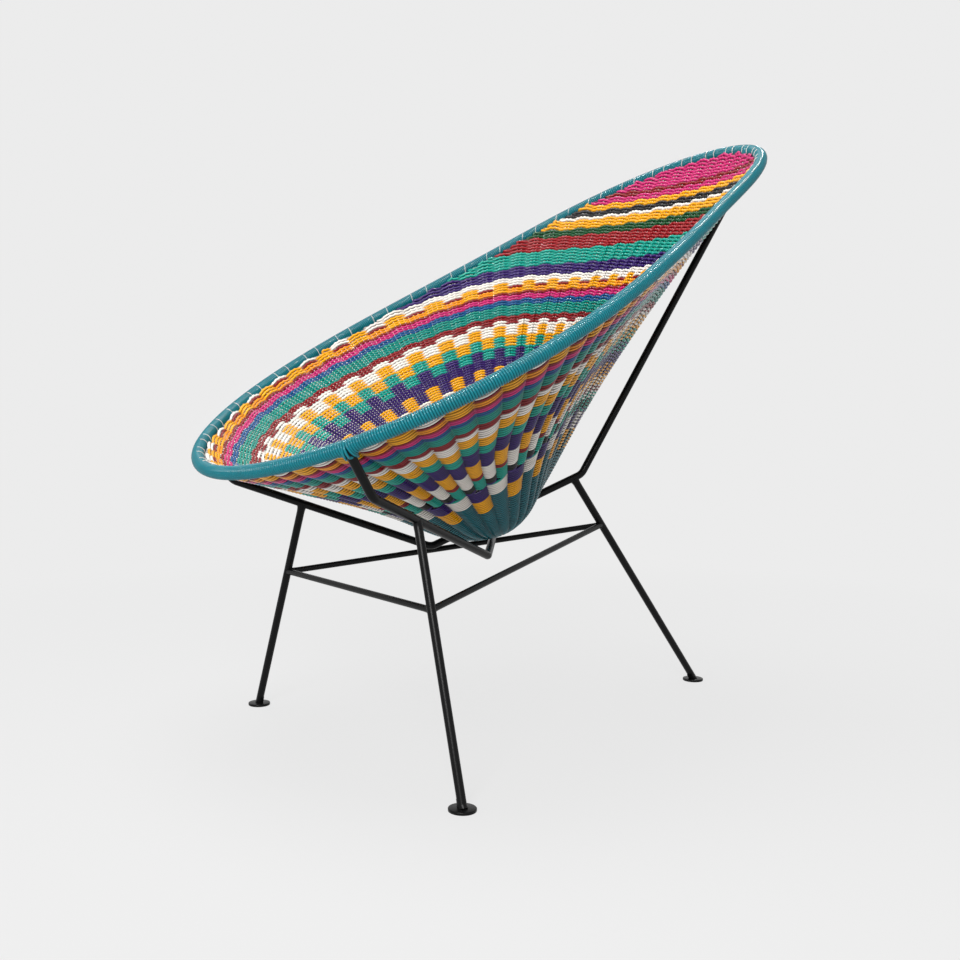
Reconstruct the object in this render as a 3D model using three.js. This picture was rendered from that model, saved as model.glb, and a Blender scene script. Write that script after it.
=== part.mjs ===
import * as THREE from 'three';

// Lounge chair with a wrapped steel ring, a woven cone seat and a three-legged rod frame.
// Millimetres. +X is the sitter's left, -Y is the front, +Z is up, and the feet stand at Z = 0.

// Steel stock
const rodDiameter = 11.6;
const stretcherDiameter = 8.8;
const rodSides = 10;
const bendRadius = 20;
const tightBendRadius = 13;
const bendSteps = 5;
const fitGap = 0.3;

// Ring: an egg in plan, wide at the front, leaning up to the rear
const rimRadius = 387.88;
const rimShapeShares = [1, 0.25603, 0.29251, -0.00129, 0.01856, -0.01005, -0.00338];
const rimTwistShares = [0, 0, 0.00518, 0.00034];
const rimTilt = THREE.MathUtils.degToRad(29.21);
const rimCentreBack = 74.35;
const rimCentreHeight = 687.97;
const wrapThickness = 3.1;
const wrapEndGap = 3;

// Seat: a hollow cone of woven cord, stretched from the ring down to a round nose
const noseBack = 1.75;
const noseHeight = 289.98;
const noseLean = THREE.MathUtils.degToRad(18.81);
const noseSwell = 30.51;
const noseSwellFront = 8.31;
const noseSwellShare = 0.12845;
const wallHollow = 16.73;
const wallHollowFront = 5.58;
const wallHollowSides = 7.4;
const weaveThickness = 6.4;
const stripeGap = 0.3;
const stripeEndHeight = 5;
const backRowLagShare = 0.115;
const backStartAngle = THREE.MathUtils.degToRad(86);

// Cradle rods: where they meet the ring, bend and pass under the nose
const frontRodAngle = THREE.MathUtils.degToRad(21.6);
const rearRodAngle = THREE.MathUtils.degToRad(165.6);
const frontRodLap = 4;
const rearRodLap = 8;
const frontBendDrop = 57;
const frontBendBack = 36.3;
const leftBendInset = 5.9;
const rightBendInset = 15.4;
const leftVertexSide = 67.7;
const leftVertexForward = 78.3;
const leftVertexDrop = 17.5;
const rightVertexSide = 82;
const rightVertexForward = 74;
const rightVertexDrop = 7.6288;
const searchSteps = 40;
const tailSide = 27;
const tailBack = 2.8;
const tailDrop = 7.5;
const tailSeatShare = 0.38;
const tailLap = 4;
const rearBendSide = 5.4;
const rearBendBack = 155.3;
const rearBendHeight = 374.8;

// Legs, stretchers and feet
const footFrontSide = 282.3;
const footFrontForward = 274.6;
const footRearBack = 434.4;
const footDiameter = 35;
const footThickness = 4;
const footSides = 32;
const frontLegShare = 0.34;
const rearLegShare = 0.945;
const frontStretcherShare = 0.681;
const rearStretcherShare = 0.789;

// Stations round the ring that every woven stripe shares
const stations = 50;
const arcSteps = 240;
const stationSlack = 0.02;

const rodRadius = rodDiameter / 2;
const wrapInner = rodRadius + fitGap;
const wrapOuter = wrapInner + wrapThickness;
const weaveEdge = wrapOuter + fitGap;

const steel = { color: 0x1e1e1e, roughness: 0.42, metalness: 0.25 };
const cordRoughness = 0.32;
const colours = {
  teal: 0x1f8a98, petrol: 0x2b6670, yellow: 0xe8a818, white: 0xe9e4de, purple: 0x3d2673,
  turquoise: 0x18a090, maroon: 0x8a1a1a, black: 0x1c1c1e, pink: 0xd8367e, darkGreen: 0x0e5a2e,
  red: 0xa81c24, navy: 0x1a5a8a, seaGreen: 0x1d8f74, orange: 0xe89a20,
};

// Whole rings of the seat: each one's name, colour, outer edge as a share of the shallowest
// wall, and the spans it is drawn in. The nose cap comes first.
const noseRowShares = [0.022, 0.048, 0.08, 0.117, 0.158, 0.203, 0.252, 0.306, 0.36];
const ringShares = [
  ['weave_ring_yellow_check', 'yellow', 0.461, 2],
  ['weave_ring_turquoise_check', 'turquoise', 0.535, 1],
  ['weave_ring_white_check', 'white', 0.589, 1],
  ['weave_ring_purple', 'purple', 0.6815, 2],
  ['weave_ring_turquoise', 'turquoise', 0.7242, 1],
  ['weave_ring_yellow', 'yellow', 0.767, 1],
  ['weave_ring_white', 'white', 0.7984, 1],
  ['weave_ring_maroon', 'maroon', 0.8276, 1],
  ['weave_ring_sea_green', 'seaGreen', 0.8614, 1],
  ['weave_ring_navy', 'navy', 0.8839, 1],
  ['weave_ring_pink', 'pink', 0.9266, 1],
  ['weave_ring_orange', 'orange', 0.9671, 1],
  ['weave_ring_outer_white', 'white', 1.0189, 1],
];

// Stripes of the tall back, which end at the ring on both sides: outer edges as shares of the
// way from the last whole ring to the top of the back
const stripeShares = [
  ['weave_back_purple', 'purple', 0.105, 1],
  ['weave_back_turquoise', 'turquoise', 0.2536, 1],
  ['weave_back_red', 'red', 0.3828, 1],
  ['weave_back_green', 'darkGreen', 0.4737, 1],
  ['weave_back_lower_yellow', 'yellow', 0.555, 1],
  ['weave_back_white', 'white', 0.622, 1],
  ['weave_back_black', 'black', 0.6746, 1],
  ['weave_back_upper_yellow', 'yellow', 0.7512, 1],
  ['weave_back_lower_pink', 'pink', 0.7895, 1],
  ['weave_back_dark_red', 'maroon', 0.8373, 1],
  ['weave_back_upper_pink', 'pink', 1, 1],
];

const vec = (x, y, z) => new THREE.Vector3(x, y, z);
const mix = (a, b, t) => a.clone().lerp(b, t);
const harmonics = (shares, phi) => shares.reduce((sum, share, n) => sum + share * Math.cos(n * phi), 0);

const chair = new THREE.Group();

// Adds one closed body, turned so that its faces point out.
function addPiece(name, finish, points, faces) {
  let volume = 0;
  for (const [a, b, c] of faces) {
    volume += points[a].dot(points[b].clone().cross(points[c]));
  }
  const index = faces.flatMap(([a, b, c]) => (volume < 0 ? [a, c, b] : [a, b, c]));
  const geometry = new THREE.BufferGeometry();
  geometry.setAttribute('position', new THREE.Float32BufferAttribute(points.flatMap((p) => p.toArray()), 3));
  geometry.setIndex(index);
  geometry.computeVertexNormals();
  const mesh = new THREE.Mesh(geometry, new THREE.MeshStandardMaterial({ ...finish, flatShading: true }));
  mesh.name = name;
  chair.add(mesh);
  return mesh;
}

// Joins equal sections into one body. A section is a loop of points; strip sections list the
// outer side forwards and the inner side backwards, so that their ends close as strips.
function loft(sections, { closed = false, caps = 'fan' } = {}) {
  const count = sections[0].length;
  const points = sections.flat();
  const faces = [];
  const last = closed ? sections.length : sections.length - 1;
  for (let i = 0; i < last; i++) {
    const a = i * count;
    const b = ((i + 1) % sections.length) * count;
    for (let j = 0; j < count; j++) {
      const k = (j + 1) % count;
      faces.push([a + j, b + j, b + k], [a + j, b + k, a + k]);
    }
  }
  if (!closed) {
    const ends = [[0, 1], [(sections.length - 1) * count, -1]];
    for (const [start, turn] of ends) {
      const cap = [];
      if (caps === 'fan') {
        for (let j = 1; j < count - 1; j++) cap.push([start, start + j, start + j + 1]);
      } else {
        for (let j = 0; j < count / 2 - 1; j++) {
          const across = count - 1 - j;
          cap.push([start + j, start + j + 1, start + across - 1], [start + j, start + across - 1, start + across]);
        }
      }
      faces.push(...cap.map(([p, q, r]) => (turn > 0 ? [p, q, r] : [p, r, q])));
    }
  }
  return [points, faces];
}

// Ring centre line, drawn as straight runs between the shared stations.
function rimCurve(phi) {
  const radius = rimRadius * harmonics(rimShapeShares, phi);
  const across = radius * Math.sin(phi);
  const along = -radius * Math.cos(phi);
  const lift = rimRadius * harmonics(rimTwistShares, phi);
  return vec(
    across,
    rimCentreBack + along * Math.cos(rimTilt) - lift * Math.sin(rimTilt),
    rimCentreHeight + along * Math.sin(rimTilt) + lift * Math.cos(rimTilt),
  );
}
const stationAngle = (i) => (i / stations) * 2 * Math.PI;
const rimStations = Array.from({ length: stations }, (_, i) => rimCurve(stationAngle(i)));
const rimStation = (i) => rimStations[((i % stations) + stations) % stations];
function rimAt(phi) {
  const step = (phi / (2 * Math.PI)) * stations;
  const i = Math.floor(step);
  return mix(rimStation(i), rimStation(i + 1), step - i);
}
const rimRun = (i) => rimStation(i + 1).clone().sub(rimStation(i));
const rimDirection = (phi) => {
  const step = (phi / (2 * Math.PI)) * stations;
  return rimRun(Math.floor(step - stationSlack)).normalize().add(rimRun(Math.floor(step + stationSlack)).normalize()).normalize();
};

// Seat wall, from the nose (s = 0) to the ring (s = 1) along one station.
const nose = vec(0, noseBack, noseHeight);
const noseAxis = vec(0, -Math.sin(noseLean), Math.cos(noseLean));
function wallCurve(phi, s) {
  const toRim = rimCurve(phi).sub(nose);
  const radial = toRim.clone().addScaledVector(noseAxis, -toRim.dot(noseAxis)).normalize();
  const rise = s / noseSwellShare;
  const swell = (noseSwell + noseSwellFront * Math.cos(phi)) * rise * Math.exp(1 - rise);
  const hollow = wallHollow - wallHollowFront * Math.cos(phi) - wallHollowSides * Math.cos(2 * phi);
  return nose.clone().addScaledVector(toRim, s).addScaledVector(radial, swell - hollow * 4 * s * (1 - s));
}
const arcs = Array.from({ length: stations }, (_, i) => {
  const lengths = [0];
  let before = wallCurve(stationAngle(i), 0);
  for (let k = 1; k <= arcSteps; k++) {
    const next = wallCurve(stationAngle(i), k / arcSteps);
    lengths.push(lengths[k - 1] + next.distanceTo(before));
    before = next;
  }
  return lengths;
});
const wallDepth = (i) => arcs[i][arcSteps];
function shareAtDepth(i, depth) {
  const lengths = arcs[i];
  let k = 1;
  while (k < arcSteps && lengths[k] < depth) k++;
  return (k - 1 + (depth - lengths[k - 1]) / (lengths[k] - lengths[k - 1])) / arcSteps;
}

// Both faces of the weave at one station, at a distance from the nose along the wall.
function wallFaces(i, depth) {
  const phi = stationAngle(i);
  const s = shareAtDepth(i, depth);
  const step = 1 / arcSteps;
  const middle = wallCurve(phi, s);
  const up = wallCurve(phi, s + step).sub(wallCurve(phi, s - step));
  const round = wallCurve(phi + step, s).sub(wallCurve(phi - step, s));
  const out = round.cross(up).normalize();
  return {
    outer: middle.clone().addScaledVector(out, weaveThickness / 2),
    inner: middle.clone().addScaledVector(out, -weaveThickness / 2),
  };
}

// Rows lie a little farther out at the back than at the front.
const rowLag = (i) => 1 + backRowLagShare * ((1 - Math.cos(stationAngle(i))) / 2) ** 1.5;
const allStations = Array.from({ length: stations }, (_, i) => i);
// The wall meets the ring at a slant on the sides, so its edge stops farther along there.
const slants = Array.from({ length: stations }, (_, i) => {
  const up = wallCurve(stationAngle(i), 1).sub(wallCurve(stationAngle(i), 1 - 1 / arcSteps)).normalize();
  return Math.min(...[rimRun(i), rimRun(i - 1)].map((run) => Math.sin(up.angleTo(run))));
});
const wallEnd = (i) => wallDepth(i) - weaveEdge / slants[i];
const inBack = (i) => Math.cos(stationAngle(i)) < Math.cos(backStartAngle);
const ringReach = Math.min(...allStations.map((i) => wallEnd(i) / rowLag(i)));
const backStation = stations / 2;
const backReach = wallEnd(backStation) / rowLag(backStation);
const cord = (colour) => ({ color: colours[colour], roughness: cordRoughness, metalness: 0 });

// One station's section of a stripe, from depth low to depth high.
function stripeSection(i, low, high, spans) {
  const rows = Array.from({ length: spans + 1 }, (_, k) => wallFaces(i, low + ((high - low) * k) / spans));
  return [...rows.map((r) => r.outer), ...rows.map((r) => r.inner).reverse()];
}

// Nose cap: closed at its tip, open to the seat.
{
  const points = [];
  const faces = [];
  const rows = noseRowShares.length;
  const depths = noseRowShares.map((share, k) => share * ringReach - (k === rows - 1 ? stripeGap / 2 : 0));
  for (const side of ['outer', 'inner']) {
    for (const depth of depths) {
      for (const i of allStations) points.push(wallFaces(i, depth * rowLag(i))[side]);
    }
  }
  const tipRow = allStations.map((i) => wallFaces(i, depths[0] * rowLag(i)));
  const tipAxis = tipRow.reduce((sum, r) => sum.add(r.inner).sub(r.outer), vec(0, 0, 0)).normalize();
  points.push(nose.clone().addScaledVector(tipAxis, -weaveThickness / 2));
  points.push(nose.clone().addScaledVector(tipAxis, weaveThickness / 2));
  const at = (side, row, i) => (side * rows + row) * stations + (i % stations);
  const tips = [points.length - 2, points.length - 1];
  for (const i of allStations) {
    faces.push([tips[0], at(0, 0, i), at(0, 0, i + 1)], [tips[1], at(1, 0, i + 1), at(1, 0, i)]);
    for (let r = 0; r < rows - 1; r++) {
      faces.push([at(0, r, i), at(0, r + 1, i), at(0, r + 1, i + 1)], [at(0, r, i), at(0, r + 1, i + 1), at(0, r, i + 1)]);
      faces.push([at(1, r, i), at(1, r + 1, i + 1), at(1, r + 1, i)], [at(1, r, i), at(1, r, i + 1), at(1, r + 1, i + 1)]);
    }
    const r = rows - 1;
    faces.push([at(0, r, i), at(1, r, i), at(1, r, i + 1)], [at(0, r, i), at(1, r, i + 1), at(0, r, i + 1)]);
  }
  addPiece('weave_nose_petrol', cord('petrol'), points, faces);
}

// Whole rings.
const ringEnd = (share) => (i) => Math.min(share * ringReach * rowLag(i), wallEnd(i));
let lowShare = noseRowShares[noseRowShares.length - 1];
for (const [name, colour, share, spans] of ringShares) {
  const low = ringEnd(lowShare);
  const high = ringEnd(share);
  const isLast = share === ringShares[ringShares.length - 1][2];
  const top = (i) => (isLast && !inBack(i) ? wallEnd(i) : high(i) - stripeGap / 2);
  const sections = allStations.map((i) => stripeSection(i, low(i) + stripeGap / 2, top(i), spans));
  addPiece(name, cord(colour), ...loft(sections, { closed: true }));
  lowShare = share;
}

// Back stripes. Each ends where the ring has come down to stripeEndHeight above its lower edge.
const fullReach = lowShare * ringReach;
let lowReach = fullReach;
for (const [name, colour, share, spans] of stripeShares) {
  const reach = fullReach + share * (backReach - fullReach);
  const low = (i) => lowReach * rowLag(i);
  const high = (i) => Math.min(reach * rowLag(i), wallEnd(i));
  const top = (i) => (high(i) < wallEnd(i) ? high(i) - stripeGap / 2 : high(i));
  const inside = allStations.filter((i) => inBack(i) && wallEnd(i) - low(i) > stripeEndHeight);
  const sections = inside.map((i) => stripeSection(i, low(i) + stripeGap / 2, top(i), spans));
  // The tapered end runs out towards the next station, where the ring cuts the stripe off.
  const tip = (i, next) => {
    const edge = inBack(next) ? Math.min(low(next), wallEnd(next)) : wallEnd(next);
    const ends = stripeSection(next, edge + stripeGap / 2, wallEnd(next), spans);
    const endHeight = wallEnd(next) - edge;
    const t = (stripeEndHeight - endHeight) / (top(i) - low(i) - endHeight);
    return ends.map((p, k) => mix(p, stripeSection(i, low(i) + stripeGap / 2, top(i), spans)[k], t));
  };
  const first = inside[0];
  const final = inside[inside.length - 1];
  const tall = (i) => top(i) - low(i) > stripeEndHeight * 1.2;
  if (tall(first)) sections.unshift(tip(first, first - 1));
  if (tall(final)) sections.push(tip(final, final + 1));
  addPiece(name, cord(colour), ...loft(sections, { caps: 'strip' }));
  lowReach = reach;
}

// Circle of points about a centre, in the plane of two unit directions.
const circle = (centre, u, v, radius, sides = rodSides) => Array.from({ length: sides }, (_, k) => {
  const turn = ((k + 0.5) / sides) * 2 * Math.PI;
  return centre.clone().addScaledVector(u, radius * Math.cos(turn)).addScaledVector(v, radius * Math.sin(turn));
});

// Section of the ring or of its wrap. The first direction stays square to the ring's plane.
const rimNormal = vec(0, -Math.sin(rimTilt), Math.cos(rimTilt));
function rimSection(centre, direction, radius) {
  const side = direction.clone().cross(rimNormal).normalize();
  return circle(centre, side, side.clone().cross(direction).normalize(), radius);
}
function stationSection(i, radius) {
  const here = rimStation(i);
  const before = here.clone().sub(rimStation(i - 1)).normalize();
  const after = rimStation(i + 1).clone().sub(here).normalize();
  return rimSection(here, before.add(after).normalize(), radius);
}
addPiece('rim_ring', steel, ...loft(allStations.map((i) => stationSection(i, rodRadius)), { closed: true }));

// Cord wrap: a hollow sleeve on each stretch of ring between two rods.
function endAngle(phi, away) {
  const run = rimRun(Math.floor((phi / (2 * Math.PI)) * stations + away * stationSlack)).length();
  return phi + (away * stationAngle(1) * (rodRadius + wrapEndGap)) / run;
}
function wrap(name, rodBefore, rodAfter) {
  const from = endAngle(rodBefore, 1);
  const to = endAngle(rodAfter, -1);
  const slack = stationAngle(stationSlack);
  const shell = (radius) => {
    const sections = [rimSection(rimAt(from), rimDirection(from), radius)];
    for (let i = Math.floor(from / stationAngle(1)); i <= Math.ceil(to / stationAngle(1)); i++) {
      const phi = stationAngle(i);
      if (phi > from + slack && phi < to - slack) sections.push(stationSection(i, radius));
    }
    sections.push(rimSection(rimAt(to), rimDirection(to), radius));
    return sections;
  };
  const outer = shell(wrapOuter);
  const inner = shell(wrapInner);
  const sections = outer.map((loop, i) => [...loop, ...inner[i]]);
  const points = sections.flat();
  const faces = [];
  const count = rodSides;
  const at = (row, shellIndex, k) => row * 2 * count + shellIndex * count + (k % count);
  for (let row = 0; row < sections.length - 1; row++) {
    for (let k = 0; k < count; k++) {
      faces.push([at(row, 0, k), at(row + 1, 0, k), at(row + 1, 0, k + 1)]);
      faces.push([at(row, 0, k), at(row + 1, 0, k + 1), at(row, 0, k + 1)]);
      faces.push([at(row, 1, k), at(row + 1, 1, k + 1), at(row + 1, 1, k)]);
      faces.push([at(row, 1, k), at(row, 1, k + 1), at(row + 1, 1, k + 1)]);
    }
  }
  const end = sections.length - 1;
  for (let k = 0; k < count; k++) {
    faces.push([at(0, 0, k), at(0, 0, k + 1), at(0, 1, k + 1)], [at(0, 0, k), at(0, 1, k + 1), at(0, 1, k)]);
    faces.push([at(end, 0, k), at(end, 1, k + 1), at(end, 0, k + 1)], [at(end, 0, k), at(end, 1, k), at(end, 1, k + 1)]);
  }
  addPiece(name, cord('teal'), points, faces);
}
wrap('rim_wrap_front', -frontRodAngle, frontRodAngle);
wrap('rim_wrap_left', frontRodAngle, rearRodAngle);
wrap('rim_wrap_right', rearRodAngle, 2 * Math.PI - frontRodAngle);

// Path through corners, with a round bend at each inner corner.
function bentPath(corners, radii) {
  const path = [corners[0]];
  for (let c = 1; c < corners.length - 1; c++) {
    const into = corners[c].clone().sub(corners[c - 1]).normalize();
    const from = corners[c + 1].clone().sub(corners[c]).normalize();
    const turn = into.angleTo(from);
    const radius = radii[c - 1];
    const reach = radius * Math.tan(turn / 2);
    const start = corners[c].clone().addScaledVector(into, -reach);
    const towards = from.clone().addScaledVector(into, -from.dot(into)).normalize();
    for (let k = 0; k <= bendSteps; k++) {
      const angle = (turn * k) / bendSteps;
      path.push(start.clone().addScaledVector(into, radius * Math.sin(angle))
        .addScaledVector(towards, radius * (1 - Math.cos(angle))));
    }
  }
  path.push(corners[corners.length - 1]);
  return path;
}

// Plane that an end butts against: square to the direction of arrival, parallel to the rod that
// carries it, and one gap off that rod's surface.
function seatOn(point, along, carrierRadius, arriving) {
  const normal = arriving.clone().addScaledVector(along, -arriving.dot(along)).normalize();
  return { normal, offset: normal.dot(point) - carrierRadius - fitGap };
}

// Plane that halves the corner between two rods leaving one point.
function mitre(point, away, other) {
  const normal = other.clone().sub(away).normalize();
  return { normal, offset: normal.dot(point) - fitGap / 2 };
}

// Round rod along a path. Each end is cut to its planes, whichever comes first.
function addRod(name, path, radius, startPlanes, endPlanes, sides = rodSides) {
  const count = path.length;
  const directions = path.map((p, i) => {
    const before = i > 0 ? p.clone().sub(path[i - 1]).normalize() : null;
    const after = i < count - 1 ? path[i + 1].clone().sub(p).normalize() : null;
    return before && after ? before.add(after).normalize() : before ?? after;
  });
  let side = directions[0].clone().cross(vec(0, 0, 1)).normalize();
  const sections = path.map((p, i) => {
    side = side.clone().addScaledVector(directions[i], -side.dot(directions[i])).normalize();
    return circle(p, side, directions[i].clone().cross(side).normalize(), radius, sides);
  });
  const cut = (section, out, planes) => section.forEach((p) => {
    const ways = planes.map(({ normal, offset }) => (offset - normal.dot(p)) / normal.dot(out));
    p.addScaledVector(out, Math.min(...ways));
  });
  cut(sections[0], directions[0].clone().negate(), startPlanes);
  cut(sections[count - 1], directions[count - 1], endPlanes);
  addPiece(name, steel, ...loft(sections));
}

// Key points of the cradle, hung from the ring and set below the lowest point of the nose.
const noseLow = Math.min(...allStations.flatMap((i) => (
  Array.from({ length: arcSteps / 4 }, (_, k) => wallCurve(stationAngle(i), k / arcSteps).z)
)));
const wallOut = (phi) => {
  const step = 1 / arcSteps;
  const up = wallCurve(phi, 1).sub(wallCurve(phi, 1 - step));
  return rimDirection(phi).clone().cross(up).normalize();
};
const rimSeat = (phi, lap) => rimAt(phi).addScaledVector(wallOut(phi), lap);
const leftTop = rimSeat(frontRodAngle, frontRodLap);
const rightTop = rimSeat(2 * Math.PI - frontRodAngle, frontRodLap);
const rearTop = rimSeat(rearRodAngle, rearRodLap);
const leftBend = leftTop.clone().add(vec(-leftBendInset, frontBendBack, -frontBendDrop));
const rightBend = rightTop.clone().add(vec(rightBendInset, frontBendBack, -frontBendDrop));
const leftVertex = vec(leftVertexSide, noseBack - leftVertexForward, noseLow - leftVertexDrop);
const rearBend = vec(rearBendSide, rearBendBack, rearBendHeight);

// The right rod's vertex hangs below the height at which its run to the rear bend would touch the nose.
const nosePoints = allStations.flatMap((i) => (
  Array.from({ length: arcSteps / 2 }, (_, k) => wallCurve(stationAngle(i), k / arcSteps))
));
const rightVertexAt = (height) => vec(-rightVertexSide, noseBack - rightVertexForward, height);
const touches = (height) => {
  const run = new THREE.Line3(rightVertexAt(height), rearBend);
  const reach = rodRadius + weaveThickness / 2;
  return nosePoints.some((p) => run.closestPointToPoint(p, true, vec(0, 0, 0)).distanceTo(p) < reach);
};
let clearHeight = 0;
let touchHeight = rimCentreHeight;
for (let k = 0; k < searchSteps; k++) {
  const middle = (clearHeight + touchHeight) / 2;
  if (touches(middle)) touchHeight = middle;
  else clearHeight = middle;
}
const rightVertex = rightVertexAt(touchHeight - rightVertexDrop);
const tailLow = vec(-tailSide, noseBack + tailBack, noseLow - tailDrop);
const tailJoint = mix(rightVertex, rearBend, tailSeatShare);
const tailSeat = tailJoint.clone().add(vec(0, 0, -tailLap));

const unit = (from, to) => to.clone().sub(from).normalize();
const rimPlane = (phi, from, to) => seatOn(rimAt(phi), rimDirection(phi), rodRadius, unit(from, to));

addRod(
  'cradle_rod_left',
  bentPath([leftTop, leftBend, leftVertex, tailLow, tailSeat], [bendRadius, tightBendRadius, tightBendRadius]),
  rodRadius,
  [rimPlane(frontRodAngle, leftBend, leftTop)],
  [seatOn(tailJoint, unit(rightVertex, rearBend), rodRadius, unit(tailLow, tailSeat))],
);
addRod(
  'cradle_rod_right_rear',
  bentPath([rightTop, rightBend, rightVertex, rearBend, rearTop], [bendRadius, bendRadius, bendRadius]),
  rodRadius,
  [rimPlane(2 * Math.PI - frontRodAngle, rightBend, rightTop)],
  [rimPlane(rearRodAngle, rearBend, rearTop)],
);

// Legs stand on round feet and butt against the underside of the cradle rods.
const legs = {
  front_left: {
    foot: vec(footFrontSide, -footFrontForward, 0),
    run: [leftBend, leftVertex],
    share: frontLegShare,
    joint: frontStretcherShare,
  },
  front_right: {
    foot: vec(-footFrontSide, -footFrontForward, 0),
    run: [rightBend, rightVertex],
    share: frontLegShare,
    joint: frontStretcherShare,
  },
  rear: {
    foot: vec(mix(rightVertex, rearBend, rearLegShare).x, footRearBack, 0),
    run: [rightVertex, rearBend],
    share: rearLegShare,
    joint: rearStretcherShare,
  },
};
for (const [name, leg] of Object.entries(legs)) {
  leg.top = mix(...leg.run, leg.share);
  leg.axis = unit(leg.foot, leg.top);
  leg.stretcher = mix(leg.foot, leg.top, leg.joint);
  const ground = { normal: vec(0, 0, -1), offset: -footThickness - fitGap };
  const seat = seatOn(leg.top, unit(...leg.run), rodRadius, leg.axis);
  addRod(`leg_${name}`, [leg.foot, leg.top], rodRadius, [ground], [seat]);

  const pad = new THREE.Mesh(
    new THREE.CylinderGeometry(footDiameter / 2, footDiameter / 2, footThickness, footSides),
    new THREE.MeshStandardMaterial(steel),
  );
  pad.name = `foot_${name}`;
  pad.rotation.x = Math.PI / 2;
  pad.position.copy(leg.foot).add(vec(0, 0, footThickness / 2));
  chair.add(pad);
}

// Stretchers tie the legs into a triangle.
function stretcher(name, a, b, third) {
  const cuts = (here, there) => {
    const away = unit(here.stretcher, there.stretcher);
    const other = unit(here.stretcher, third.stretcher);
    return [seatOn(here.stretcher, here.axis, rodRadius, away.clone().negate()), mitre(here.stretcher, away, other)];
  };
  addRod(name, [a.stretcher, b.stretcher], stretcherDiameter / 2, cuts(a, b), cuts(b, a));
}
stretcher('stretcher_front', legs.front_left, legs.front_right, legs.rear);
stretcher('stretcher_left', legs.front_left, legs.rear, legs.front_right);
stretcher('stretcher_right', legs.front_right, legs.rear, legs.front_left);

// The origin lies on the floor, midway between the front and rear ends of the chair.
const extent = new THREE.Box3().setFromObject(chair);
chair.position.y = -(extent.min.y + extent.max.y) / 2;

export default chair;
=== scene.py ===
import math

import bpy
import numpy as np
from mathutils import Matrix, Vector


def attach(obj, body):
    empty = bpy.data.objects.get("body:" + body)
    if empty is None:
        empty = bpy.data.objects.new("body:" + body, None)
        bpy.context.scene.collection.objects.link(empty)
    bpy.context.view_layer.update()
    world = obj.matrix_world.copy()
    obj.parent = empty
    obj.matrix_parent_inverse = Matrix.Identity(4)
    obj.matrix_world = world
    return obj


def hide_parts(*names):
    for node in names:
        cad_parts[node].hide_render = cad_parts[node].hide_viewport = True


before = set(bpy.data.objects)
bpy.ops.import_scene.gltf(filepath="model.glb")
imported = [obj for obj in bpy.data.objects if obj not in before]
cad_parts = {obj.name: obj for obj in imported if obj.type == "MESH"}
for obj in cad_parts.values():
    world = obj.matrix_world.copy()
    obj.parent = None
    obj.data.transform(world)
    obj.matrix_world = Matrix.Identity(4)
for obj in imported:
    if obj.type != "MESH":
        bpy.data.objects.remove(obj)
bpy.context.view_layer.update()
scene = bpy.context.scene
mm = 0.001
fullTurn = 2 * math.pi

# The camera stands where the photograph was taken from
cameraSpec = {
    "place": (1.27079, -0.98759, 0.47200),
    "azimuth": 0.9798,
    "pitch": 0.1472,
    "lens": 40.04,
    "sensor": 36,
    "shift": (0.0577, 0.0938),
}


def addCamera(spec):
    data = bpy.data.cameras.new("chairCamera")
    camera = bpy.data.objects.new("chairCamera", data)
    scene.collection.objects.link(camera)
    data.sensor_width = spec["sensor"]
    data.lens = spec["lens"]
    data.shift_x, data.shift_y = spec["shift"]
    data.dof.use_dof = False
    camera.location = spec["place"]
    camera.rotation_euler = (math.pi / 2 - spec["pitch"], 0, spec["azimuth"])
    scene.camera = camera


addCamera(cameraSpec)


# Ring and wall of the seat, in the form of their solids. Shape and twist are shares of the ring's radius.
ringSpec = {
    "radius": 387.88 * mm,
    "shape": (1, 0.25603, 0.29251, -0.00129, 0.01856, -0.01005, -0.00338),
    "twist": (0, 0, 0.00518, 0.00034),
    "tilt": math.radians(29.21),
    "centreBack": 74.35 * mm,
    "centreHeight": 687.97 * mm,
    "toOrigin": 4.693 * mm,
    "rod": 5.8 * mm,
    "cord": 1.72 * mm,
    "pitch": 3.28 * mm,
    "frontRod": math.radians(21.6),
    "rearRod": math.radians(165.6),
}
seatSpec = {
    "noseBack": 1.75 * mm,
    "noseHeight": 289.98 * mm,
    "lean": math.radians(18.81),
    "swell": 30.51 * mm,
    "swellFront": 8.31 * mm,
    "swellShare": 0.12845,
    "hollow": 16.73 * mm,
    "hollowFront": 5.58 * mm,
    "hollowSides": 7.4 * mm,
    "rowLag": 0.115,
    "edge": 11.5 * mm,
    "belowRing": 0.995,
}
# Angle round the ring, from the front, of each wide column's middle
columnAngles = [
    5.5, 12, 18.6, 25.2, 31.7, 38.4, 46, 54, 62.5, 73,
    87, 103, 118, 131, 141.5, 150.5, 158.5, 166, 173, 179.5,
    186, 193.5, 201, 210, 219.5, 231, 246, 261, 277, 290,
    300, 308, 315, 322, 328, 334, 340, 346, 352.5, 359,
]
wideColumns = len(columnAngles)


def unit(vectors):
    return vectors / np.linalg.norm(vectors, axis=-1, keepdims=True)


# The part of these directions that is square to the axes
def squareTo(vectors, axes):
    return unit(vectors - (vectors * axes).sum(-1, keepdims=True) * axes)


def ringPoints(phi):
    phi = np.asarray(phi, float)
    radius = ringSpec["radius"] * sum(s * np.cos(n * phi) for n, s in enumerate(ringSpec["shape"]))
    lift = ringSpec["radius"] * sum(s * np.cos(n * phi) for n, s in enumerate(ringSpec["twist"]))
    along = -radius * np.cos(phi)
    ct, st = math.cos(ringSpec["tilt"]), math.sin(ringSpec["tilt"])
    return np.stack([
        radius * np.sin(phi),
        ringSpec["centreBack"] + ringSpec["toOrigin"] + along * ct - lift * st,
        ringSpec["centreHeight"] + along * st + lift * ct,
    ], axis=-1)


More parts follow.
